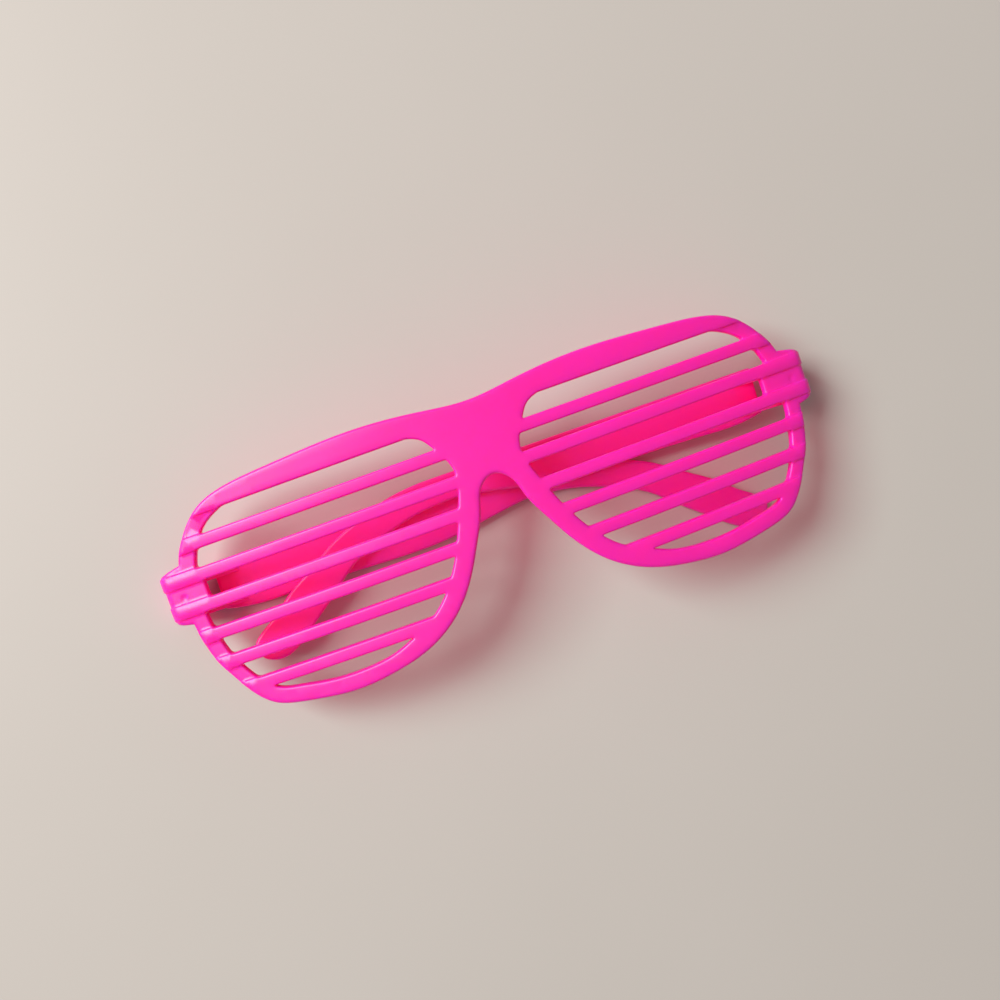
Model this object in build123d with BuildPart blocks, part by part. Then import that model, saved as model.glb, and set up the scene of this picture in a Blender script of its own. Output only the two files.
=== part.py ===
from build123d import *
import math
import os

os.makedirs("parts", exist_ok=True)

# Slatted glasses, folded and lying on the temples, with the front facing up.
# X runs to the photograph's right, Y towards the brow and Z up, out of the front.

# Front
front_width = 149.0
brow_height = 24.5
rim_drop = 27.3
front_thickness = 2.6
wrap_radius = 300.0
rim_step = 0.5

# Slats across the lens openings, which run from the brow edge to the lens foot
slat_count = 6
slat_height = 2.75
brow_bar = 5.6
foot_bar = 3.75
top_gap = 4.1
bottom_gap = 2.85

# End pieces, and the returns that the open temples meet
end_height = 11.0
end_level = 3.4
end_slope = 18.0
end_corner_radius = 1.2
return_wall = 2.4
return_corner_radius = 2.8

# Hinges
knuckle_radius = 2.0
knuckle_gap = 0.85
lug_height = 3.6
fork_gap = 0.15
fork_inset = 0.4
screw_radius = 0.8
screw_play = 0.1
screw_fit = 0.02
head_radius = 1.6
head_height = 1.0
slot_width = 0.45
slot_depth = 0.5
hinge_lean = 2.2

# Temples
ear_clearance = 8.0
temple_thickness = 2.8
temple_inset = 0.9
temple_edge_radius = 0.6
root_corner_radius = 0.35
root_height = 10.6
root_level = 2.9
ear_drop = 24.6
root_start = 4.6
stop_gap = 0.2
gusset_length = 10.0
web_depth = 2.4
stack_gap = 0.3
overrun = 1.0

# Eye rim outline, right half, as shares of the half width and of the brow height
# above the level line or the rim drop below it.
brow_shares = (
    (0.0, 0.910),
    (0.135, 0.951),
    (0.250, 0.988),
    (0.365, 1.0),
    (0.478, 0.988),
    (0.608, 0.963),
    (0.732, 0.922),
    (0.795, 0.865),
    (0.849, 0.759),
    (0.892, 0.612),
    (0.925, 0.440),
    (0.942, 0.204),
)
rim_shares = (
    (0.949, -0.030),
    (0.946, -0.147),
    (0.937, -0.293),
    (0.919, -0.447),
    (0.889, -0.599),
    (0.840, -0.795),
    (0.796, -0.893),
    (0.738, -0.942),
    (0.662, -0.976),
    (0.560, -1.0),
    (0.459, -0.974),
    (0.336, -0.888),
    (0.234, -0.722),
    (0.151, -0.455),
    (0.105, -0.234),
    (0.066, -0.010),
)
arch_shares = (
    (0.051, 0.127),
    (0.030, 0.208),
    (0.0, 0.245),
)
# Lens opening from the outer end of the brow edge round to its nose end, as shares of
# the half width and of the brow edge's height or the lens foot's depth.
lens_shares = (
    (0.747, 1.0),
    (0.800, 0.900),
    (0.839, 0.765),
    (0.872, 0.545),
    (0.892, 0.275),
    (0.9005, 0.0),
    (0.890, -0.300),
    (0.866, -0.540),
    (0.825, -0.755),
    (0.778, -0.895),
    (0.705, -0.955),
    (0.635, -0.990),
    (0.514, -1.0),
    (0.419, -0.951),
    (0.364, -0.880),
    (0.291, -0.760),
    (0.209, -0.488),
    (0.159, -0.204),
    (0.123, 0.095),
    (0.104, 0.320),
    (0.099, 0.470),
    (0.108, 0.620),
    (0.132, 0.790),
    (0.159, 0.935),
    (0.196, 1.0),
)
# Temple outline from the hinge screw's middle: the shaft as shares of the temple length
# and the root height, and the ear as shares of the temple length and the ear drop.
shaft_top_shares = (
    (0.146, 0.461),
    (0.317, 0.403),
    (0.472, 0.354),
    (0.596, 0.306),
)
ear_shares = (
    (0.651, 0.122),
    (0.690, 0.097),
    (0.721, 0.060),
    (0.760, -0.015),
    (0.798, -0.094),
    (0.837, -0.205),
    (0.875, -0.338),
    (0.915, -0.471),
    (0.954, -0.637),
    (0.981, -0.733),
    (0.995, -0.828),
    (0.989, -0.930),
    (0.968, -0.993),
    (0.944, -0.988),
    (0.923, -0.932),
    (0.906, -0.865),
    (0.875, -0.736),
    (0.837, -0.579),
    (0.806, -0.438),
    (0.767, -0.317),
    (0.705, -0.193),
    (0.658, -0.133),
    (0.627, -0.114),
)
shaft_bottom_shares = (
    (0.588, -0.243),
    (0.549, -0.306),
    (0.495, -0.423),
    (0.449, -0.520),
    (0.418, -0.565),
    (0.317, -0.598),
    (0.161, -0.598),
    (0.084, -0.600),
)
# The outer rim is stepped back outside this share of the half width.
step_start_share = 0.66
end_root_share = 0.9

half_width = front_width / 2
brow_edge = brow_height - brow_bar
lens_foot = rim_drop - foot_bar
hinge_x = half_width - temple_inset - temple_thickness - knuckle_radius
lug_circle = wrap_radius - front_thickness - knuckle_radius - knuckle_gap
hinge_depth = wrap_radius - math.sqrt(lug_circle**2 - hinge_x**2)
return_depth = hinge_depth + root_start - stop_gap
temple_length = 2 * hinge_x - ear_clearance
inner_face = knuckle_radius
outer_face = knuckle_radius + temple_thickness
hinge_level = root_level

slat_span = brow_edge + lens_foot - top_gap - bottom_gap - slat_height
slat_pitch = slat_span / (slat_count - 1)
first_slat = brow_edge - top_gap - slat_height / 2
last_slat = first_slat - slat_span
last_slat_top = last_slat + slat_height / 2

# The folded temples lie on each other, so the front leans by one temple's thickness.
front_tilt = math.asin((temple_thickness + stack_gap) / (2 * hinge_x))
lean = math.radians(hinge_lean)
tilt_sin, tilt_cos = math.sin(front_tilt), math.cos(front_tilt)
lean_sin, lean_cos = math.sin(lean), math.cos(lean)
crown_height = outer_face + hinge_x * tilt_sin + hinge_depth * tilt_cos
corner_depth = (
    wrap_radius
    - math.sqrt(wrap_radius**2 - half_width**2)
    + return_corner_radius
)
front_shift_x = -(return_depth + corner_depth) / 2 * tilt_sin
front_shift_y = (rim_drop - brow_height) / 2

front_plane = Plane(
    origin=(front_shift_x, front_shift_y, crown_height),
    x_dir=(tilt_cos, 0, tilt_sin),
    z_dir=(-tilt_sin, 0, tilt_cos),
)
# In the section plane x runs across the front and y is the depth behind its crown.
section_plane = Plane(
    origin=front_plane.origin,
    x_dir=front_plane.x_dir,
    z_dir=front_plane.y_dir,
)


def rim_point(x_share, y_share, above, below):
    return (x_share * half_width, y_share * (above if y_share > 0 else below))


def wrap_section(level, step, wall, end_wall, end_depth):
    """Section across the front at one level, its outer face set back by step."""
    face_radius = wrap_radius - step
    back_radius = face_radius - wall
    side = half_width - step
    inner_side = side - end_wall
    face_depth = wrap_radius - math.sqrt(face_radius**2 - side**2)
    back_depth = wrap_radius - math.sqrt(back_radius**2 - inner_side**2)
    middle = half_width / 2
    face_middle = wrap_radius - math.sqrt(face_radius**2 - middle**2)
    back_middle = wrap_radius - math.sqrt(back_radius**2 - middle**2)
    with BuildSketch(section_plane.offset(level)) as section:
        with BuildLine():
            ThreePointArc((0, step), (middle, face_middle), (side, face_depth))
            Polyline(
                (side, face_depth),
                (side, end_depth),
                (inner_side, end_depth),
                (inner_side, back_depth),
            )
            ThreePointArc(
                (inner_side, back_depth), (middle, back_middle), (0, step + wall)
            )
            Line((0, step + wall), (0, step))
        make_face()
        corner = section.vertices().sort_by_distance((side, face_depth))[0]
        fillet(corner, radius=return_corner_radius - step)
        mirror(about=Plane.YZ)
    return section.sketch


# Front outline: both eye rims with the bridge between them, and the two end pieces
end_top = end_level + end_height / 2
end_bottom = end_level - end_height / 2
end_root = end_root_share * half_width
end_rise = (half_width - end_root) * math.tan(math.radians(end_slope))
with BuildSketch(front_plane.offset(overrun)) as outline_sketch:
    with BuildLine():
        upper = [rim_point(x, y, brow_height, rim_drop) for x, y in brow_shares]
        lower = [rim_point(x, y, brow_height, rim_drop) for x, y in rim_shares]
        arch = [rim_point(x, y, brow_height, rim_drop) for x, y in arch_shares]
        Spline(*upper, *lower, *arch, tangents=((1, 0), (-1, 0)))
        Line(arch[-1], upper[0])
    make_face()
    with BuildSketch(mode=Mode.PRIVATE) as end_piece:
        with BuildLine():
            Polyline(
                (end_root, end_top + end_rise),
                (half_width, end_top),
                (half_width, end_bottom),
                (end_root, end_bottom - end_rise),
                close=True,
            )
        make_face()
        outer_corners = end_piece.vertices().group_by(Axis.X)[-1]
        fillet(outer_corners, radius=end_corner_radius)
    add(end_piece.sketch)
    mirror(about=Plane.YZ)

with BuildSketch(front_plane.offset(overrun)) as lens_sketch:
    with BuildLine():
        rim = [rim_point(x, y, brow_edge, lens_foot) for x, y in lens_shares]
        Spline(*rim)
        Line(rim[-1], rim[0])
    make_face()
    mirror(about=Plane.YZ)

# The slats' strips, and the gaps that they leave in the lens openings
with BuildSketch(front_plane.offset(overrun)) as strip_sketch:
    for n in range(slat_count):
        with Locations((0, first_slat - n * slat_pitch)):
            Rectangle(front_width + overrun, slat_height)

with BuildSketch() as gap_sketch:
    add(lens_sketch.sketch_local)
    add(strip_sketch.sketch_local, mode=Mode.SUBTRACT)

with BuildSketch(front_plane.offset(overrun)) as plate_sketch:
    add(outline_sketch.sketch_local)
    add(gap_sketch.sketch_local, mode=Mode.SUBTRACT)

# The outer rims are stepped back between the brow edge and the last slat, except
# where the slats run over them as ribs.
step_start = step_start_share * half_width
with BuildSketch(front_plane.offset(overrun)) as step_sketch:
    with BuildLine():
        Polyline(
            (step_start, brow_edge),
            (half_width + overrun, brow_edge),
            (half_width + overrun, last_slat_top),
            (step_start, last_slat_top),
            close=True,
        )
    make_face()
    mirror(about=Plane.YZ)
    add(strip_sketch.sketch_local, mode=Mode.SUBTRACT)

cut_depth = return_depth + 2 * overrun
strip_height = brow_height + rim_drop + 2 * overrun
strip_foot = -rim_drop - overrun
full_section = wrap_section(strip_foot, 0, front_thickness, return_wall, return_depth)
kept_section = wrap_section(
    strip_foot,
    rim_step,
    front_thickness,
    return_wall,
    return_depth + overrun,
)

with BuildPart() as step_cut:
    extrude(step_sketch.sketch, amount=-cut_depth)
    with BuildPart(mode=Mode.PRIVATE) as kept:
        extrude(kept_section, amount=strip_height)
    add(kept.part, mode=Mode.SUBTRACT)

with BuildPart() as plate:
    extrude(full_section, amount=strip_height)
    with BuildPart(mode=Mode.PRIVATE) as outline_block:
        extrude(plate_sketch.sketch, amount=-cut_depth)
    add(outline_block.part, mode=Mode.INTERSECT)

# Hinge lugs, one behind each end piece, with a bore across
lug_seat_depth = front_thickness + wrap_radius - math.sqrt(wrap_radius**2 - hinge_x**2)
with BuildPart() as lugs:
    lug_plane = section_plane.offset(hinge_level - lug_height / 2)
    with BuildSketch(lug_plane) as lug_sketch:
        with Locations((hinge_x, hinge_depth)):
            Circle(knuckle_radius)
        with Locations((hinge_x, hinge_depth)):
            Rectangle(
                2 * knuckle_radius,
                hinge_depth - lug_seat_depth + rim_step,
                align=(Align.CENTER, Align.MAX),
            )
        with Locations((hinge_x, hinge_depth)):
            Circle(screw_radius + screw_play, mode=Mode.SUBTRACT)
        mirror(about=Plane.YZ)
    extrude(lug_sketch.sketch, amount=lug_height)

with BuildPart() as front_frame:
    add(plate.part)
    add(step_cut.part, mode=Mode.SUBTRACT)
    add(lugs.part)
front_frame.part.label = "front_frame"
export_step(front_frame.part, "parts/front_frame.step")

# Temples and their hinge screws. Each temple's own frame has u along the temple, v along
# the screw and w towards its outer face, which faces down when the temple is folded.
tab_height = (root_height - lug_height) / 2 - fork_gap - fork_inset
tab_start = lug_height / 2 + fork_gap
fork_end = tab_start + tab_height
for name, side in (("left", -1), ("right", 1)):
    pivot = front_plane.from_local_coords((side * hinge_x, hinge_level, -hinge_depth))
    along = (-side * lean_cos, side * lean_sin, 0)
    pin = (lean_sin, lean_cos, 0)
    profile_plane = Plane(origin=pivot, x_dir=along, z_dir=(0, 0, -side))
    tab_plane = Plane(origin=pivot, x_dir=along, z_dir=pin)

    with BuildPart() as temple:
        with BuildSketch(profile_plane.offset(side * inner_face)) as profile:
            with BuildLine():
                root_top = (root_start, root_height / 2)
                root_bottom = (root_start, -root_height / 2)
                shaft_top = [
                    (x * temple_length, y * root_height) for x, y in shaft_top_shares
                ]
                ear = [(x * temple_length, y * ear_drop) for x, y in ear_shares]
                shaft_bottom = [
                    (x * temple_length, y * root_height) for x, y in shaft_bottom_shares
                ]
                Spline(root_top, *shaft_top, *ear, *shaft_bottom, root_bottom)
                Line(root_bottom, root_top)
            make_face()
            fillet(profile.vertices(), radius=root_corner_radius)
        extrude(profile.sketch, amount=side * temple_thickness)
        faces = temple.faces().filter_by(Axis.Z)
        fillet(faces.edges(), radius=temple_edge_radius)
        gusset_foot = -side * (inner_face + temple_edge_radius)
        for foot in (tab_start, -fork_end):
            with BuildSketch(tab_plane.offset(foot)) as tab:
                Circle(knuckle_radius)
                with BuildLine():
                    Polyline(
                        (0, side * knuckle_radius),
                        (gusset_length, -side * inner_face),
                        (gusset_length, gusset_foot),
                        (root_start + temple_edge_radius, gusset_foot),
                        (root_start, -side * web_depth),
                        (0, -side * knuckle_radius),
                        close=True,
                    )
                make_face()
                Circle(screw_radius + screw_fit, mode=Mode.SUBTRACT)
            extrude(tab.sketch, amount=tab_height)
        with BuildSketch(tab_plane.offset(fork_end)) as counterbore:
            Circle(head_radius + screw_fit)
        extrude(counterbore.sketch, amount=-head_height, mode=Mode.SUBTRACT)
    temple.part.label = name + "_temple"
    export_step(temple.part, "parts/" + name + "_temple.step")

    with BuildPart() as screw:
        with BuildSketch(tab_plane.offset(-fork_end)) as shank:
            Circle(screw_radius)
        extrude(shank.sketch, amount=2 * fork_end - head_height)
        with BuildSketch(tab_plane.offset(fork_end - head_height)) as head:
            Circle(head_radius)
        extrude(head.sketch, amount=head_height)
        with BuildSketch(tab_plane.offset(fork_end)) as slot:
            Rectangle(2 * head_radius + overrun, slot_width)
        extrude(slot.sketch, amount=-slot_depth, mode=Mode.SUBTRACT)
    screw.part.label = name + "_hinge_screw"
    export_step(screw.part, "parts/" + name + "_hinge_screw.step")
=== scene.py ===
import math

import bpy
import numpy as np
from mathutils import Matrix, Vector
from mathutils.geometry import delaunay_2d_cdt


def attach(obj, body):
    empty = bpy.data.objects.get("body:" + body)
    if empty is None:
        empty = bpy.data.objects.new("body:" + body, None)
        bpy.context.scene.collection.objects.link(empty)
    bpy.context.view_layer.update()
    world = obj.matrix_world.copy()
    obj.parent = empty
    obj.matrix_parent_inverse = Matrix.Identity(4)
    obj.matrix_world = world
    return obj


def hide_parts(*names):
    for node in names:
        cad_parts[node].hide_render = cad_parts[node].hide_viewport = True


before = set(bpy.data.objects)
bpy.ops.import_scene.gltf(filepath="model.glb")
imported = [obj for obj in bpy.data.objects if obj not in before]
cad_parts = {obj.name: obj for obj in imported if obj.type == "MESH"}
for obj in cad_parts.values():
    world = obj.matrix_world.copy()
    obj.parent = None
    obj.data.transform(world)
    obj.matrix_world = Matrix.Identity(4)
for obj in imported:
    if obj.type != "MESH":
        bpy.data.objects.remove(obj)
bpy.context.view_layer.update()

# Folded party glasses in one pink plastic, lying front up on their crossed temples.
# Everything is in metres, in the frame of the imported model, unless a note says otherwise.

print("frame loaded:", sorted(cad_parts))


def toLinear(hexColour):
    # sRGB hex to the linear colour that the shaders take
    srgb = np.array([int(hexColour[i:i + 2], 16) for i in (1, 3, 5)]) / 255
    linear = np.where(srgb <= 0.04045, srgb / 12.92, ((srgb + 0.055) / 1.055) ** 2.4)
    return (*linear.tolist(), 1.0)


def addNode(tree, kind, settings=None, links=None):
    # settings: an attribute, or an input by name or number, to its value
    # links: an input to the output socket that feeds it
    node = tree.nodes.new(kind)
    for name, value in (settings or {}).items():
        if isinstance(name, int) or name in node.inputs:
            node.inputs[name].default_value = value
        else:
            setattr(node, name, value)
    for name, socket in (links or {}).items():
        tree.links.new(socket, node.inputs[name])
    return node


# socket numbers of a Mix node that is set to colours
mixShare, mixFirst, mixSecond, mixedColour = 0, 6, 7, 2


def newMaterial(name):
    # an empty material, with its node tree and the Object coordinates to lay patterns on
    material = bpy.data.materials.new(name)
    material.use_nodes = True
    tree = material.node_tree
    tree.nodes.clear()
    coordinates = addNode(tree, "ShaderNodeTexCoord")
    return material, tree, coordinates.outputs["Object"]


def finishMaterial(tree, shader):
    addNode(tree, "ShaderNodeOutputMaterial", links={"Surface": shader.outputs[0]})


# Polystyrene, injection moulded: a soft, even gloss with slow waves in it, a glowing dye,
# and walls thin enough to let light through in pink.
pinkPlastic = {
    "colour": "#ff16b6",
    "deepColour": "#ff10aa",
    "ior": 1.59,
    "roughness": (0.38, 0.46),
    "subsurface": 1.0,
    "subsurfaceScale": 0.003,
    "subsurfaceRadius": (1.0, 0.05, 0.14),
    "throughColour": "#cc507e",
    "waveSize": 0.018,
    "waveDetail": 2.0,
    "waveSharpness": 0.45,
    "waveDepth": 0.00012,
    "grainSize": 0.0006,
    "grainDetail": 3.0,
    "grainSharpness": 0.6,
    "grainRange": (0.3, 0.7),  # noise values between which the roughness runs
}

# Turned steel: tool marks too fine to follow, seen as a slightly uneven shine.
screwSteel = {
    "colour": "#b9b9bd",
    "darkColour": "#8f9094",
    "roughness": (0.25, 0.42),
    "markSize": 0.00012,
    "markDetail": 2.0,
    "markDepth": 0.000006,
    "markStrength": 0.6,
}


def mouldedPlastic(name, p):
    material, tree, place = newMaterial(name)
    waves = addNode(tree, "ShaderNodeTexNoise", {
        "Scale": 1 / p["waveSize"], "Detail": p["waveDetail"],
        "Roughness": p["waveSharpness"]}, {"Vector": place})
    grain = addNode(tree, "ShaderNodeTexNoise", {
        "Scale": 1 / p["grainSize"], "Detail": p["grainDetail"],
        "Roughness": p["grainSharpness"]}, {"Vector": place})
    colour = addNode(tree, "ShaderNodeMix", {
        "data_type": "RGBA", mixFirst: toLinear(p["colour"]),
        mixSecond: toLinear(p["deepColour"])}, {mixShare: waves.outputs["Fac"]})
    rough = addNode(tree, "ShaderNodeMapRange", {
        "From Min": p["grainRange"][0], "From Max": p["grainRange"][1],
        "To Min": p["roughness"][0], "To Max": p["roughness"][1]},
        {"Value": grain.outputs["Fac"]})
    bump = addNode(tree, "ShaderNodeBump", {
        "Strength": 1.0, "Distance": p["waveDepth"]}, {"Height": waves.outputs["Fac"]})
    shader = addNode(tree, "ShaderNodeBsdfPrincipled", {
        "IOR": p["ior"],
        "Subsurface Weight": p["subsurface"],
        "Subsurface Scale": p["subsurfaceScale"],
        "Subsurface Radius": p["subsurfaceRadius"]},
        {"Base Color": colour.outputs[mixedColour], "Roughness": rough.outputs["Result"],
         "Normal": bump.outputs["Normal"]})
    # light on its way from a lamp passes each wall and takes its colour, so that what lies
    # under the plastic is lit pink
    through = addNode(tree, "ShaderNodeBsdfTransparent", {"Color": toLinear(p["throughColour"])})
    path = addNode(tree, "ShaderNodeLightPath")
    wall = addNode(tree, "ShaderNodeMixShader", links={
        0: path.outputs["Is Shadow Ray"], 1: shader.outputs[0], 2: through.outputs[0]})
    finishMaterial(tree, wall)
    return material


def turnedSteel(name, p):
    material, tree, place = newMaterial(name)
    marks = addNode(tree, "ShaderNodeTexNoise", {
        "Scale": 1 / p["markSize"], "Detail": p["markDetail"]}, {"Vector": place})
    colour = addNode(tree, "ShaderNodeMix", {
        "data_type": "RGBA", mixFirst: toLinear(p["colour"]),
        mixSecond: toLinear(p["darkColour"])}, {mixShare: marks.outputs["Fac"]})
    rough = addNode(tree, "ShaderNodeMapRange", {
        "To Min": p["roughness"][0], "To Max": p["roughness"][1]},
        {"Value": marks.outputs["Fac"]})
    bump = addNode(tree, "ShaderNodeBump", {
        "Strength": p["markStrength"], "Distance": p["markDepth"]},
        {"Height": marks.outputs["Fac"]})
    shader = addNode(tree, "ShaderNodeBsdfPrincipled", {"Metallic": 1.0}, {
        "Base Color": colour.outputs[mixedColour], "Roughness": rough.outputs["Result"],
        "Normal": bump.outputs["Normal"]})
    finishMaterial(tree, shader)
    return material


plastic = mouldedPlastic("mouldedPinkPolystyrene", pinkPlastic)
steel = turnedSteel("turnedScrewSteel", screwSteel)
for nodeName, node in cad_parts.items():
    node.data.materials.clear()
    node.data.materials.append(steel if "screw" in nodeName else plastic)
print("materials made")

# Front: one moulded plate, wrapped round a cylinder, with slats left standing between
# its rims. Its sizes are in millimetres in its own frame, where x runs across, y towards
# the brow and depth backwards from the crown. Beyond the corner, x goes on along the
# return. A level is a y, and p is the piece's dictionary throughout.
frontPlate = {
    "origin": (-0.3401, 1.4, 19.9443),  # the crown's place in the model
    "tiltDegrees": 1.29093,
    "halfWidth": 74.5,
    "browHeight": 24.5,
    "rimDrop": 27.3,
    "wrapRadius": 300.0,
    "cornerRadius": 2.8,
    "returnDepth": 17.998,
    "wall": 2.6,  # in the middle, and then at the corner and along the return
    "cornerWall": 2.5,
    "returnWall": 2.4,
    "thinningStart": 60.0,  # from here outwards the wall thins and turns to face the corner
    "browEdge": 18.9,  # level of the openings' upper edge
    "lensFoot": 23.55,  # their lowest point, below the level line
    "slats": 6,
    "slatHeight": 2.75,
    "topGap": 4.1,
    "bottomGap": 2.85,
    "webGap": 2,  # the opening that stops at the hinge's web, counted from 0 at the brow
    "webEnds": (64.9, 63.1),  # x at which it stops, left and right
    "noseCorner": 0.5,  # how far the openings' corners are cut back
    "outerCorner": 0.8,
    "step": 0.45,  # height of the slats above the rim
    "stepStart": 49.17,
    "flank": 0.3,  # width of the ramp beside each slat
    "edgeFade": (0.25, 0.65),  # share of the step at the outline, and where it is whole
    "endFade": (0.6, 70.0, 74.0),  # share of it round the corner, and x from and to
    "dimple": (70.3, 3.1, 1.1, 0.2),  # sink mark: x, level, radius and depth
    "endLevel": 3.4,
    "endHeight": 11.0,
    "endSlope": 12.0,  # degrees
    "endCorner": 1.3,
    "slatRound": 0.5,
    "rimRound": 0.7,
    "endRound": 1.0,
    "roundChange": (60, 70),  # x over which rimRound passes into endRound
    # fineness of the mesh
    "roundSteps": 5,
    "longestMitre": 1.5,
    "spacing": 0.7,  # of points along the outline and the lowest opening
    "slatSpacing": 1.2,
    "flankRows": 5,
    "outerPoints": 8,  # down the outer side of an opening
    "nosePoints": 9,
    "shoulderPoints": 60,
    "arcPoints": 7,
    "shoulderGap": 0.2,  # least gap between the outline's points and the end piece's
    "tipGap": 0.1,
    "capGap": 0.16,  # least gap between the grid and the rounded edges
    "pitch": 1.5,  # of the grid: in the middle, on the rims, round the corner, on the return
    "rimPitch": 0.55,
    "cornerPitch": 0.35,
    "returnPitch": 1.2,
    "cornerBand": (-0.9, -0.6, 4.4, 5.0),  # where the last three meet, from the corner's start
    "rowGap": 1.0,
    "dimpleRings": 5,
    "dimplePoints": 14,
    "dimpleGap": 0.25,
}

# The outline's right half, as shares of the half width and of the brow height above the
# level line or the rim drop below it, from the top of the bridge round to its arch.
outlineShares = (
    (0.0, 0.910), (0.135, 0.951), (0.250, 0.988), (0.365, 1.0), (0.478, 0.988),
    (0.608, 0.963), (0.732, 0.922), (0.795, 0.865), (0.849, 0.759), (0.892, 0.612),
    (0.925, 0.440), (0.942, 0.204), (0.949, -0.030), (0.946, -0.147), (0.937, -0.293),
    (0.919, -0.447), (0.889, -0.599), (0.840, -0.795), (0.796, -0.893), (0.738, -0.942),
    (0.662, -0.976), (0.560, -1.0), (0.459, -0.974), (0.336, -0.888), (0.234, -0.722),
    (0.151, -0.455), (0.105, -0.234), (0.066, -0.010), (0.051, 0.127), (0.030, 0.208),
    (0.0, 0.245),
)
# The lens opening, as shares of the half width and of the brow edge or the lens foot,
# from the outer end of the brow edge round to its nose end.
lensShares = (
    (0.747, 1.0), (0.800, 0.900), (0.839, 0.765), (0.872, 0.545), (0.892, 0.275),
    (0.9005, 0.0), (0.890, -0.300), (0.866, -0.540), (0.825, -0.755), (0.778, -0.895),
    (0.705, -0.955), (0.635, -0.990), (0.514, -1.0), (0.419, -0.951), (0.364, -0.880),
    (0.291, -0.760), (0.209, -0.488), (0.159, -0.204), (0.123, 0.095), (0.104, 0.320),
    (0.099, 0.470), (0.108, 0.620), (0.132, 0.790), (0.159, 0.935), (0.196, 1.0),
)
mirror = np.array([-1, 1])  # times a point of the right half, the left half's


def fromShares(p, shares, above, below):
    # shares times the half width, and times the height above or the drop below
    shares = np.array(shares)
    return shares * np.stack([np.full(len(shares), p["halfWidth"]),
                              np.where(shares[:, 1] > 0, above, below)], axis=1)


def smoothThrough(points, samples=4000):
    # the curve through the points that bends least: cubic pieces whose second
    # derivatives solve one set of linear equations
    points = np.array(points, float)
    gaps = np.linalg.norm(np.diff(points, axis=0), axis=1)
    knots = np.concatenate([[0], np.cumsum(gaps)])
    count = len(points)
    system = np.eye(count)
    middle = np.arange(1, count - 1)
    system[middle, middle - 1] = gaps[:-1]
    system[middle, middle] = 2 * (gaps[:-1] + gaps[1:])
    system[middle, middle + 1] = gaps[1:]
    right = np.zeros_like(points)
    right[1:-1] = 6 * np.diff(np.diff(points, axis=0) / gaps[:, None], axis=0)
    bend = np.linalg.solve(system, right)
    t = np.linspace(0, knots[-1], samples)
    i = np.clip(np.searchsorted(knots, t, side="right") - 1, 0, count - 2)
    gap = gaps[i][:, None]
    a = (knots[i + 1] - t)[:, None] / gap
    b = 1 - a
    return (a * points[i] + b * points[i + 1]
            + ((a**3 - a) * bend[i] + (b**3 - b) * bend[i + 1]) * gap**2 / 6)


def lengthAlong(curve):
    # running sum of the distances from point to point
    steps = np.linalg.norm(np.diff(curve, axis=0), axis=1)
    return np.concatenate([[0], np.cumsum(steps)])


def pointsAt(curve, lengths):
    # the places at the given lengths along the straight pieces of a curve
    along = lengthAlong(curve)
    return np.stack([np.interp(lengths, along, curve[:, k]) for k in (0, 1)], axis=1)


def evenly(curve, spacing, keep=(), nearest=0.3):
    # points of the curve at even steps, with the lengths in keep among them in place of
    # the steps that are nearer to them than that share of the spacing
    total = lengthAlong(curve)[-1]
    steps = np.linspace(0, total, max(2, round(total / spacing)) + 1)
    keep = np.array(keep, float)
    if len(keep):
        near = np.abs(steps[1:-1, None] - keep).min(axis=1) < nearest * spacing
        steps = np.delete(steps, 1 + np.flatnonzero(near))
    return pointsAt(curve, np.unique(np.concatenate([steps, keep])))


def slatLevels(p):
    # middles of the slats, evenly spaced from the top opening's foot to the lowest's top
    span = p["browEdge"] + p["lensFoot"] - p["topGap"] - p["bottomGap"] - p["slatHeight"]
    first = p["browEdge"] - p["topGap"] - p["slatHeight"] / 2
    return first - span * np.arange(p["slats"]) / (p["slats"] - 1)


def flankLevels(p):
    # levels of the rows down each ramp beside the slats and under the brow
    levels, half = slatLevels(p), p["slatHeight"] / 2
    ramp = p["flank"] * np.linspace(0, 1, p["flankRows"])
    above = (levels[:, None] + half + ramp).ravel()
    below = (levels[:-1, None] - half - ramp).ravel()
    return np.sort(np.concatenate([above, below, p["browEdge"] - ramp]))


def loweredBy(p, points, outline):
    # how far the rim's face lies below the slats' face: a smooth ramp beside each slat,
    # shallower at the outline and round the corner, and a sink mark on each end piece
    x, y = np.abs(points[:, 0]), points[:, 1]
    levels = slatLevels(p)
    clear = np.abs(y[:, None] - levels).min(axis=1) - p["slatHeight"] / 2
    clear = np.minimum(clear, p["browEdge"] - y)
    clear = np.where(y < levels[-1], 0, clear)
    share = np.clip(clear / p["flank"], 0, 1)
    inset = np.hypot(points[:, :1] - outline[:, 0], points[:, 1:] - outline[:, 1]).min(axis=1)
    least, whole = p["edgeFade"]
    fade = least + (1 - least) * np.clip(inset / whole, 0, 1)
    least, start, end = p["endFade"]
    fade *= least + (1 - least) * np.clip((end - x) / (end - start), 0, 1)
    markX, markY, radius, depth = p["dimple"]
    near = np.clip(1 - ((x - markX)**2 + (y - markY)**2) / radius**2, 0, 1)
    ramp = p["step"] * share**2 * (3 - 2 * share) * fade * (x > p["stepStart"])
    return ramp + depth * near**2


def wrapCorner(p):
    # where the wrap's arc passes into the corner's small arc: its x, its angle from the
    # crown, and the middle of the small arc
    across, reach = p["halfWidth"] - p["cornerRadius"], p["wrapRadius"] - p["cornerRadius"]
    angle = math.asin(across / reach)
    middle = (across, p["wrapRadius"] - reach * math.cos(angle))
    return p["wrapRadius"] * math.sin(angle), angle, middle


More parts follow.
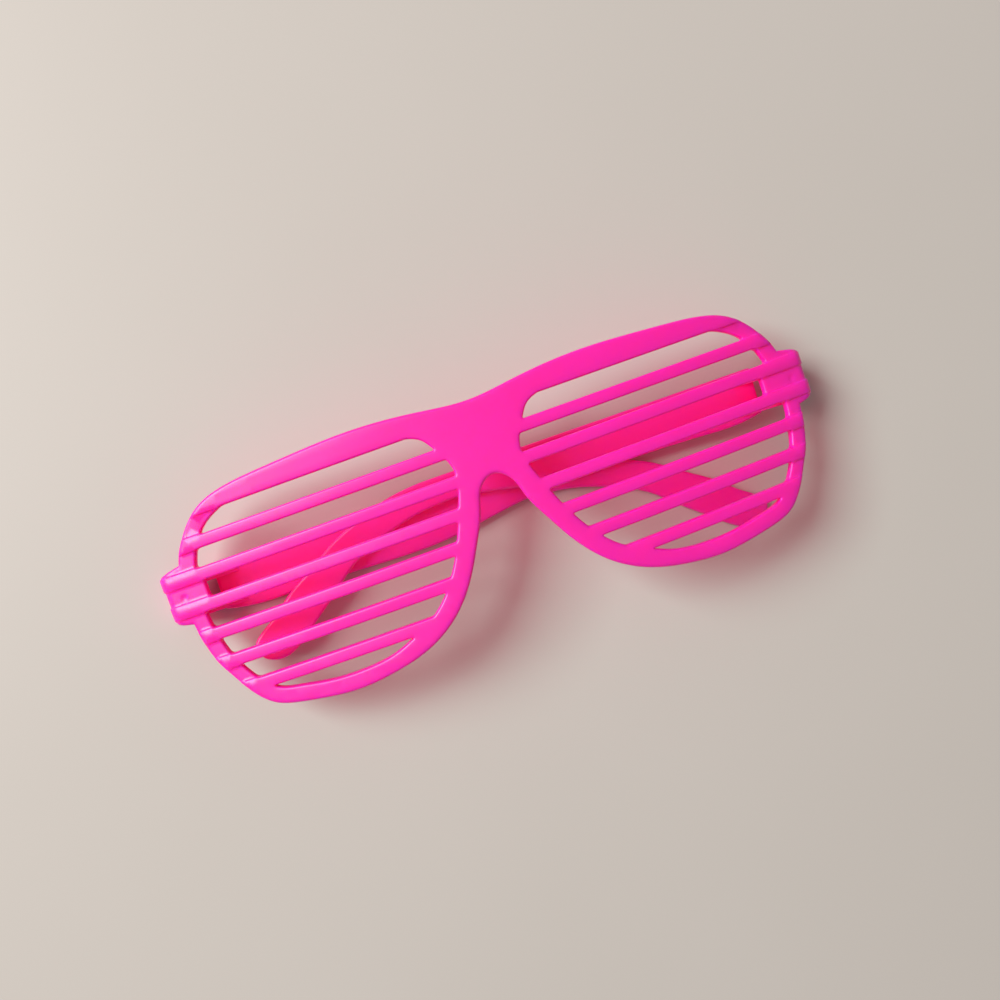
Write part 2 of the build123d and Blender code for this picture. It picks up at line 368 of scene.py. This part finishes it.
def wrapped(p, x, y, h):
    # the point at x along the wrap, at level y, h behind the face: a wide arc, then the
    # corner's quarter turn, then straight back
    cornerStart, startAngle, middle = wrapCorner(p)
    side, run = np.sign(x), np.abs(x)
    turn = startAngle + np.clip((run - cornerStart) / p["cornerRadius"], 0, None)
    over = np.clip(turn - math.pi / 2, 0, None) * p["cornerRadius"]
    turn = np.minimum(turn, math.pi / 2)
    onArc = run <= cornerStart
    faceX = np.where(onArc, run, middle[0] + p["cornerRadius"] * np.sin(turn))
    arcDepth = p["wrapRadius"] - np.sqrt(p["wrapRadius"]**2 - np.minimum(run, cornerStart)**2)
    faceDepth = np.where(onArc, arcDepth, middle[1] - p["cornerRadius"] * np.cos(turn) + over)
    lead = np.clip((run - p["thinningStart"]) / (cornerStart - p["thinningStart"]), 0, 1)
    inward = np.where(onArc, startAngle * lead, turn)
    return side * (faceX - h * np.sin(inward)), y, -(faceDepth + h * np.cos(inward))


def wallAt(p, x):
    # the wall is measured across the wrap, so it is longer straight back; from there it
    # passes into the corner's wall and then the return's
    cornerStart = wrapCorner(p)[0]
    run = np.abs(x)
    across = p["wall"] / np.cos(np.arcsin(np.minimum(run, p["halfWidth"]) / p["wrapRadius"]))
    lead = np.clip((run - p["thinningStart"]) / (cornerStart - p["thinningStart"]), 0, 1)
    corner = np.clip((run - cornerStart) / p["cornerRadius"], 0, 1)
    face = across * (1 - lead) + p["cornerWall"] * lead
    return face * (1 - corner) + p["returnWall"] * corner


def returnLength(p):
    # x at the return's end: the wide arc's x, the rest of the quarter turn and the straight
    cornerStart, startAngle, middle = wrapCorner(p)
    return (cornerStart + (math.pi / 2 - startAngle) * p["cornerRadius"]
            + p["returnDepth"] - middle[1])


def endRise(p, x):
    # half the end piece's height at x: what it has at the corner, and more by its slope
    slope = math.tan(math.radians(p["endSlope"]))
    return p["endHeight"] / 2 + (p["halfWidth"] - x) * slope


def mirroredDown(rows, level):
    # points turned over a level, in the opposite order
    return np.stack([rows[::-1, 0], 2 * level - rows[::-1, 1]], axis=1)


def outlineCurve(p):
    # the smooth outline of the right half, without its end piece; a few mirrored points
    # beyond both ends keep it level where the halves meet
    points = fromShares(p, outlineShares, p["browHeight"], p["rimDrop"])
    curve = smoothThrough([*(points[3:0:-1] * mirror), *points, *(points[-2:-5:-1] * mirror)])
    curve = curve[curve[:, 0] >= 0]
    curve[[0, -1], 0] = 0
    return curve


def halfOutline(p):
    # from the top of the bridge clockwise to its arch: the curve, the end piece with its
    # sloping sides and rounded corners, and the curve again
    curve = outlineCurve(p)
    level, half, corner = p["endLevel"], p["endHeight"] / 2, p["endCorner"]
    onEnd = np.abs(curve[:, 1] - level) < endRise(p, curve[:, 0])
    onEnd &= curve[:, 0] > p["stepStart"]
    first, last = np.flatnonzero(onEnd)[[0, -1]]
    # the curve has a point wherever a row of the ramps meets it
    flanks = flankLevels(p)
    along = lengthAlong(curve)
    side = np.flatnonzero(curve[:, 0] > p["stepStart"])[::-1]
    meets = np.interp(flanks, curve[side, 1], along[side])
    upper = evenly(curve[:first + 1], p["spacing"],
                   meets[meets < along[first] - p["shoulderGap"]])
    lower = evenly(curve[last:], p["spacing"],
                   meets[meets > along[last] + p["shoulderGap"]] - along[last])
    end = returnLength(p)
    shoulder = np.linspace(curve[first, 0], end - corner, p["shoulderPoints"])
    across = np.minimum(wrapped(p, shoulder, 0, 0)[0], p["halfWidth"])
    top = np.stack([shoulder, level + endRise(p, across)], axis=1)[1:]
    arc = np.linspace(0, math.pi / 2, p["arcPoints"])
    upperArc = np.stack([end - corner + corner * np.sin(arc),
                         level + half - corner + corner * np.cos(arc)], axis=1)[1:]
    inside = flanks[np.abs(flanks - level) < half - corner - p["tipGap"]][::-1]
    tip = np.stack([np.full(len(inside), end), inside], axis=1)
    bottom = mirroredDown(top, level)
    bottom = bottom[bottom[:, 0] > curve[last, 0] + p["shoulderGap"]]
    return np.concatenate([upper, top, upperArc, tip, mirroredDown(upperArc, level),
                           bottom, lower])


def softCorners(loop, corners, reaches, steps=6, clearance=1.1):
    # each corner cut back by its reach along both its sides and joined by a parabola; the
    # loop's points nearer to it than its reach times the clearance give way
    closed = np.concatenate([loop, loop[:1]])
    along = lengthAlong(closed)
    total = along[-1]
    t = np.linspace(0, 1, steps)
    kept = np.ones(len(loop), bool)
    points, places = [], []
    for corner, reach in zip(corners, reaches):
        away = np.abs(along[:-1] - along[corner])
        kept &= np.minimum(away, total - away) > clearance * reach
        ends = pointsAt(closed, (along[corner] + np.array([-reach, reach])) % total)
        points.append(np.outer((1 - t)**2, ends[0]) + np.outer(2 * t * (1 - t), loop[corner])
                      + np.outer(t**2, ends[1]))
        places.append((along[corner] + reach * (2 * t - 1)) % total)
    points = np.concatenate([loop[kept], *points])
    return points[np.concatenate([along[:-1][kept], *places]).argsort()]


def gapLoops(p, webEnd):
    # clockwise loops of the openings on the right: along the upper edge, down the outer
    # side, back along the lower edge and up the nose side. One stops at the hinge's web.
    curve = smoothThrough(fromShares(p, lensShares, p["browEdge"], p["lensFoot"]))
    low = curve[:, 1].argmin()
    outer, nose = curve[:low + 1][::-1], curve[low:]
    limits = np.full(p["slats"] + 1, p["halfWidth"])
    limits[p["webGap"]] = webEnd

    def outerAt(y, limit):
        return np.minimum(np.interp(y, outer[:, 1], outer[:, 0]), limit)

    def noseAt(y):
        return np.interp(y, nose[:, 1], nose[:, 0])

    def edgeAt(y, start, end):
        across = np.linspace(start, end, round(abs(end - start) / p["slatSpacing"]))
        return np.stack([across, np.full(len(across), y)], axis=1)

    levels, half, flanks = slatLevels(p), p["slatHeight"] / 2, flankLevels(p)
    tops = np.concatenate([[p["browEdge"]], levels - half])
    feet = np.concatenate([levels + half, [curve[low, 1]]])
    reaches = [p["noseCorner"], p["outerCorner"], p["outerCorner"], p["noseCorner"]]
    tiny = 1e-6
    loops = []
    for top, foot, limit in zip(tops, feet, limits):
        upper = edgeAt(top, noseAt(top), outerAt(top, limit))
        corners = [0, len(upper) - 1]
        if foot > curve[low, 1]:
            inside = flanks[(flanks > foot + tiny) & (flanks < top - tiny)]
            middle = np.linspace(foot + p["flank"], top - p["flank"], p["outerPoints"])[1:-1]
            down = np.sort(np.concatenate([inside, middle]))[::-1]
            up = np.linspace(foot, top, p["nosePoints"])[1:-1]
            lower = edgeAt(foot, outerAt(foot, limit), noseAt(foot))
            loop = [upper, np.stack([outerAt(down, limit), down], axis=1), lower,
                    np.stack([noseAt(up), up], axis=1)]
            corners += [len(upper) + len(down), len(upper) + len(down) + len(lower) - 1]
        else:
            loop = [upper, evenly(curve[curve[:, 1] < top], p["spacing"])[1:-1]]
        loops.append(softCorners(np.concatenate(loop), corners, reaches))
    return loops


def leftNormals(loop, longest, flattest=0.1):
    # mitre vectors towards the material, which lies to the left of the way round: the sum
    # of the two edges' normals over one plus their product, no longer than the longest
    edges = np.roll(loop, -1, axis=0) - loop
    edges /= np.linalg.norm(edges, axis=1)[:, None]
    normals = np.stack([-edges[:, 1], edges[:, 0]], axis=1)
    before = np.roll(normals, 1, axis=0)
    mitre = normals + before
    mitre = mitre / np.maximum(1 + (normals * before).sum(axis=1), flattest)[:, None]
    size = np.linalg.norm(mitre, axis=1)
    return mitre * np.minimum(1, longest / size)[:, None]


def insideLoops(points, loops, batch=500):
    # odd count of crossings by a ray towards +x, a few hundred points at a time
    starts = np.concatenate(loops)
    ends = np.concatenate([np.roll(loop, -1, axis=0) for loop in loops])
    rise = np.where(ends[:, 1] == starts[:, 1], 1, ends[:, 1] - starts[:, 1])
    slant = (ends[:, 0] - starts[:, 0]) / rise
    found = []
    for part in np.array_split(points, max(1, len(points) // batch)):
        x, y = part[:, :1], part[:, 1:]
        crossing = (starts[:, 1] > y) != (ends[:, 1] > y)
        at = starts[:, 0] + (y - starts[:, 1]) * slant
        found.append((crossing & (at > x)).sum(axis=1) % 2 == 1)
    return np.concatenate(found)


def crossed(columns, rows):
    # every column with every row, as points
    return np.stack(np.meshgrid(columns, rows), axis=-1).reshape(-1, 2)


def frontGrid(p):
    # points of the flat face: wide columns in the middle, close ones on the outer rims and
    # round the corner, with rows that follow the slats' flanks, and rings at the sink mark
    rimEnd, cornerFrom, cornerTo, returnFrom = wrapCorner(p)[0] + np.array(p["cornerBand"])
    levels, gap, pitch = slatLevels(p), p["rowGap"], p["pitch"]
    between = (levels[:-1] + levels[1:]) / 2
    inner = crossed(np.arange(0, p["stepStart"], pitch),
                    np.arange(-p["rimDrop"], p["browHeight"], pitch))
    outerColumns = np.concatenate([
        np.arange(p["stepStart"], rimEnd, p["rimPitch"]),
        np.arange(cornerFrom, cornerTo, p["cornerPitch"]),
        np.arange(returnFrom, returnLength(p), p["returnPitch"])])
    outerRows = np.unique(np.concatenate([
        flankLevels(p), levels, between, between + gap, between - gap,
        np.arange(p["browEdge"] + gap, p["browHeight"], pitch),
        np.arange(-p["rimDrop"], levels[-1] - gap, pitch)]))
    outer = crossed(outerColumns, outerRows)
    markX, markY, radius, _ = p["dimple"]
    away = np.hypot(outer[:, 0] - markX, outer[:, 1] - markY)
    outer = outer[away > radius + p["dimpleGap"]]
    rings, around = p["dimpleRings"], p["dimplePoints"]
    ring, turn = np.meshgrid(np.linspace(1 / rings, 1, rings) * radius,
                             np.arange(around) * 2 * math.pi / around)
    mark = np.stack([markX + ring * np.cos(turn), markY + ring * np.sin(turn)],
                    axis=-1).reshape(-1, 2)
    right = np.concatenate([inner, outer, mark])
    return np.concatenate([right, right[right[:, 0] > 0] * mirror])


def frontLoops(p):
    # the outline anticlockwise and the openings clockwise, so that the material is always
    # on the left, and the radius to which each point's edge is rounded
    half = halfOutline(p)
    outline = np.concatenate([half, (half * mirror)[-2:0:-1]])[::-1]
    leftEnd, rightEnd = p["webEnds"]
    gaps = gapLoops(p, rightEnd) + [(loop * mirror)[::-1] for loop in gapLoops(p, leftEnd)]
    outlineRound = np.interp(np.abs(outline[:, 0]), p["roundChange"],
                             [p["rimRound"], p["endRound"]])
    return [outline, *gaps], [outlineRound, *(np.full(len(loop), p["slatRound"])
                                              for loop in gaps)]


def nextOnLoop(loops):
    # for each point, the number of the one after it on its own loop
    starts = np.cumsum([0] + [len(loop) for loop in loops])
    return np.concatenate([np.roll(np.arange(a, b), -1)
                           for a, b in zip(starts[:-1], starts[1:])])


def capTriangles(loops, grid, following):
    # triangles of the flat face between the loops, through the grid's points, all turned
    # the same way; their corners are numbered with the loops' points first
    edge = np.concatenate(loops)
    cap = np.concatenate([edge, grid])
    links = np.stack([np.arange(len(edge)), following], axis=1)
    wholeHull, mergeWithin, wantOrigins = 0, 1e-7, True
    made = delaunay_2d_cdt([Vector(q) for q in cap], links.tolist(), [],
                           wholeHull, mergeWithin, wantOrigins)
    madeFaces, madeFrom = made[2], made[3]
    triangles = np.array([old[0] for old in madeFrom])[np.array(madeFaces)]
    triangles = triangles[insideLoops(cap[triangles].mean(axis=1), loops)]
    corners = cap[triangles]
    u, v = corners[:, 1] - corners[:, 0], corners[:, 2] - corners[:, 0]
    turnedOver = u[:, 0] * v[:, 1] - u[:, 1] * v[:, 0] < 0
    triangles[turnedOver] = triangles[turnedOver][:, ::-1]
    return triangles


def frontSurface(p):
    # the plate laid flat, as x, level and height behind the face, and its faces: rows of
    # points round every edge, and the grid between them in front and behind
    loops, rounds = frontLoops(p)
    mitres = [leftNormals(loop, p["longestMitre"]) for loop in loops]
    following = nextOnLoop(loops)
    edge, mitre, radius = (np.concatenate(part) for part in (loops, mitres, rounds))
    count = len(edge)
    capLoops = [loop + m * r[:, None] for loop, m, r in zip(loops, mitres, rounds)]
    capEdge = np.concatenate(capLoops)
    grid = frontGrid(p)
    grid = grid[insideLoops(grid, capLoops)]
    clear = np.hypot(grid[:, :1] - capEdge[:, 0], grid[:, 1:] - capEdge[:, 1]).min(axis=1)
    grid = grid[clear > p["capGap"]]
    triangles = capTriangles(capLoops, grid, following)
    # rows of the rounded edge from the face to the side wall, then from the side wall to
    # the back: a quarter circle each
    angle = np.linspace(math.pi / 2, 0, p["roundSteps"])
    sheets = []
    for back in (False, True):
        for a in (angle[::-1] if back else angle):
            plane = edge + mitre * (radius * (1 - math.cos(a)))[:, None]
            height = radius * (1 - math.sin(a))
            if back:
                height = wallAt(p, plane[:, 0]) - height
            else:
                height = height + loweredBy(p, plane, loops[0])
            sheets.append(np.column_stack([plane, height]))
    frontFill = np.column_stack([grid, loweredBy(p, grid, loops[0])])
    backFill = np.column_stack([grid, wallAt(p, grid[:, 0])])
    flat = np.concatenate([*sheets, frontFill, backFill])
    # each row joins the next, and the two faces join the first and the last row
    k, rows = np.arange(count), len(sheets)
    base = np.arange(rows - 1)[:, None] * count
    quads = np.stack([base + k, base + count + k, base + count + following,
                      base + following], axis=-1).reshape(-1, 4)
    fill = rows * count + np.arange(len(grid))
    frontFaces = np.concatenate([k, fill])[triangles]
    backFaces = np.concatenate([(rows - 1) * count + k, fill + len(grid)])[triangles][:, ::-1]
    return flat, [*quads.tolist(), *frontFaces.tolist(), *backFaces.tolist()]


def intoModel(p, x, y, z):
    # from the front's own frame, in millimetres, to the model's, in metres
    tilt = math.radians(p["tiltDegrees"])
    across = np.array([math.cos(tilt), 0, math.sin(tilt)])
    out = np.array([-math.sin(tilt), 0, math.cos(tilt)])
    up = np.array([0.0, 1.0, 0.0])
    return (np.array(p["origin"]) + np.outer(x, across) + np.outer(y, up)
            + np.outer(z, out)) / 1000


# Hinge lugs, one behind each end piece, with a bore for the screw. Millimetres, in the
# front's own frame.
hingeLug = {
    "x": 68.8,
    "depth": 13.598,
    "neckDepth": 10.2,
    "level": 2.9,
    "height": 3.6,
    "radius": 2.0,
    "bore": 0.9,
    "round": 0.25,
    "around": 96,
}


def lugSurface(p, tiny=1e-9):
    # a ring of constant height: from the bore out to the circle behind the pivot, and to
    # the neck's flat sides in front of it, carried round the pivot
    angle = np.arange(p["around"]) * 2 * math.pi / p["around"]
    side, back = np.sin(angle), np.cos(angle)
    flatSide = p["radius"] / np.maximum(np.abs(side), tiny)
    neckEnd = (p["depth"] - p["neckDepth"]) / np.maximum(-back, tiny)
    outer = np.where(back > 0, p["radius"], np.minimum(flatSide, neckEnd))
    edge, half = p["round"], p["height"] / 2
    bore = np.full(p["around"], p["bore"])
    reach = [bore, bore + edge, outer - edge, outer, outer, outer - edge, bore + edge, bore]
    level = [half - edge, half, half, half - edge, edge - half, -half, -half, edge - half]
    x = p["x"] + np.concatenate([r * side for r in reach])
    z = -p["depth"] - np.concatenate([r * back for r in reach])
    y = p["level"] + np.repeat(level, p["around"])
    k, following = np.arange(p["around"]), (np.arange(p["around"]) + 1) % p["around"]
    row = np.arange(len(reach))[:, None]
    base, after = row * p["around"], (row + 1) % len(reach) * p["around"]
    faces = np.stack([base + k, base + following, after + following, after + k],
                     axis=-1).reshape(-1, 4)
    return x, y, z, faces


def makeFront(name, plate, lug):
    # the plate and two lugs in one mesh; the left lug is the right one mirrored, with its
    # faces turned back
    flat, plateFaces = frontSurface(plate)
    lugX, lugY, lugZ, lugFaces = lugSurface(lug)
    points = [intoModel(plate, *wrapped(plate, *flat.T)),
              intoModel(plate, lugX, lugY, lugZ), intoModel(plate, -lugX, lugY, lugZ)]
    first, second = len(flat), len(flat) + len(lugX)
    faces = [*plateFaces, *(lugFaces + first).tolist(),
             *(lugFaces[:, ::-1] + second).tolist()]
    mesh = bpy.data.meshes.new(name)
    mesh.from_pydata(np.concatenate(points).tolist(), [], faces)
    mesh.polygons.foreach_set("use_smooth", np.ones(len(mesh.polygons), bool))
    mesh.materials.append(plastic)
    piece = bpy.data.objects.new(name, mesh)
    bpy.context.scene.collection.objects.link(piece)
    print(name, "has", len(mesh.polygons), "faces")
    return piece


front = makeFront("front_moulding", frontPlate, hingeLug)
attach(front, "front")
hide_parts("front_frame")

# Camera, floor and light
cameraSet = {
    "place": (-0.019171, 0.014810, 0.227271),
    "turnDegrees": (-1.6568, -5.9740, -19.8215),
    "lensMillimetres": 36.0,
    "sensorMillimetres": 36.0,
    "nearest": 0.01,
}
cameraData = bpy.data.cameras.new("camera")
cameraData.lens = cameraSet["lensMillimetres"]
cameraData.sensor_width = cameraSet["sensorMillimetres"]
cameraData.clip_start = cameraSet["nearest"]
camera = bpy.data.objects.new("camera", cameraData)
camera.location = cameraSet["place"]
camera.rotation_euler = [math.radians(a) for a in cameraSet["turnDegrees"]]
bpy.context.scene.collection.objects.link(camera)
bpy.context.scene.camera = camera

paleFloor = {
    "half": 2.0,
    "colour": "#beb9b4",
    "paleColour": "#c4bfbb",
    "roughness": 0.6,
    "cloudSize": 0.12,
    "cloudDetail": 3.0,
}
half = paleFloor["half"]
floorMesh = bpy.data.meshes.new("floor")
floorMesh.from_pydata([(-half, -half, 0), (half, -half, 0), (half, half, 0), (-half, half, 0)],
                      [], [(0, 1, 2, 3)])
floor = bpy.data.objects.new("floor", floorMesh)
bpy.context.scene.collection.objects.link(floor)
floorMaterial, tree, place = newMaterial("paleFloor")
clouds = addNode(tree, "ShaderNodeTexNoise", {
    "Scale": 1 / paleFloor["cloudSize"], "Detail": paleFloor["cloudDetail"]}, {"Vector": place})
tone = addNode(tree, "ShaderNodeMix", {
    "data_type": "RGBA", mixFirst: toLinear(paleFloor["colour"]),
    mixSecond: toLinear(paleFloor["paleColour"])}, {mixShare: clouds.outputs["Fac"]})
finishMaterial(tree, addNode(tree, "ShaderNodeBsdfPrincipled", {
    "Roughness": paleFloor["roughness"]}, {"Base Color": tone.outputs[mixedColour]}))
floorMesh.materials.append(floorMaterial)

# a large square window to the left, beyond the brow, turned towards the glasses
windowLight = {
    "place": (-1.05, 0.74, 1.14),
    "size": 0.86,
    "power": 42.0,
    "colour": "#fffaf4",
}
lampData = bpy.data.lights.new("window", "AREA")
lampData.shape = "SQUARE"
lampData.size = windowLight["size"]
lampData.energy = windowLight["power"]
lampData.color = toLinear(windowLight["colour"])[:3]
lamp = bpy.data.objects.new("window", lampData)
lamp.location = windowLight["place"]
lamp.rotation_euler = (-Vector(windowLight["place"])).to_track_quat("-Z", "Y").to_euler()
bpy.context.scene.collection.objects.link(lamp)

# even light from the room's walls
roomLight = {"colour": "#f4f1ee", "strength": 0.27}
world = bpy.data.worlds.new("room")
bpy.context.scene.world = world
world.use_nodes = True
background = world.node_tree.nodes["Background"]
background.inputs["Color"].default_value = toLinear(roomLight["colour"])
background.inputs["Strength"].default_value = roomLight["strength"]
bpy.context.scene.view_settings.view_transform = "Standard"
print("camera, floor and light set")
